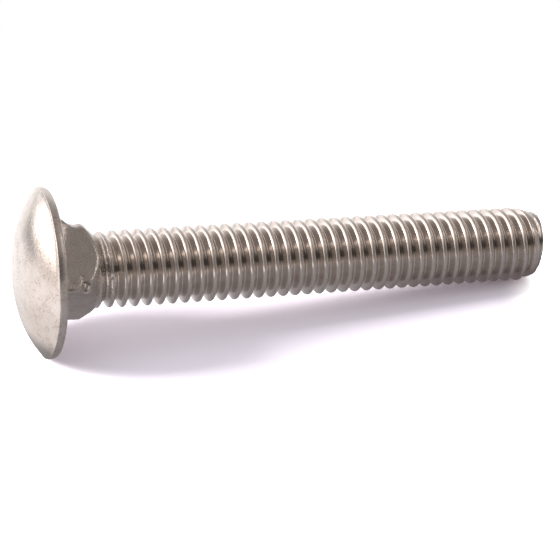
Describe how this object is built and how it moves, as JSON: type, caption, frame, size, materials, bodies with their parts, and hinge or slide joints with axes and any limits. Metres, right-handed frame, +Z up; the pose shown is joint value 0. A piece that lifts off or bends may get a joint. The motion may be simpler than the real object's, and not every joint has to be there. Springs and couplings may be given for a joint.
{
  "type": "carriage bolt",
  "caption": "Carriage bolt with a shallow domed head, a square neck under it and a right-hand thread along the whole shank, lying as it comes to rest.",
  "frame": {"origin": "on the floor under the middle of the lying bolt's bounding box", "axes": "+Z up from the floor, +X horizontal from the head toward the tip; the bolt's own length drops 5.23 degrees below +X toward the tip, because it lies on the rim of its head and on the thread by its tip"},
  "size_m": [0.0678, 0.0206, 0.0207],
  "materials": {
    "stainless_steel": "bare stainless steel: satin, mottled dome, smooth rolled thread"
  },
  "bodies": {
    "root": {"carriage_bolt": "stainless_steel"}
  },
  "joints": []
}
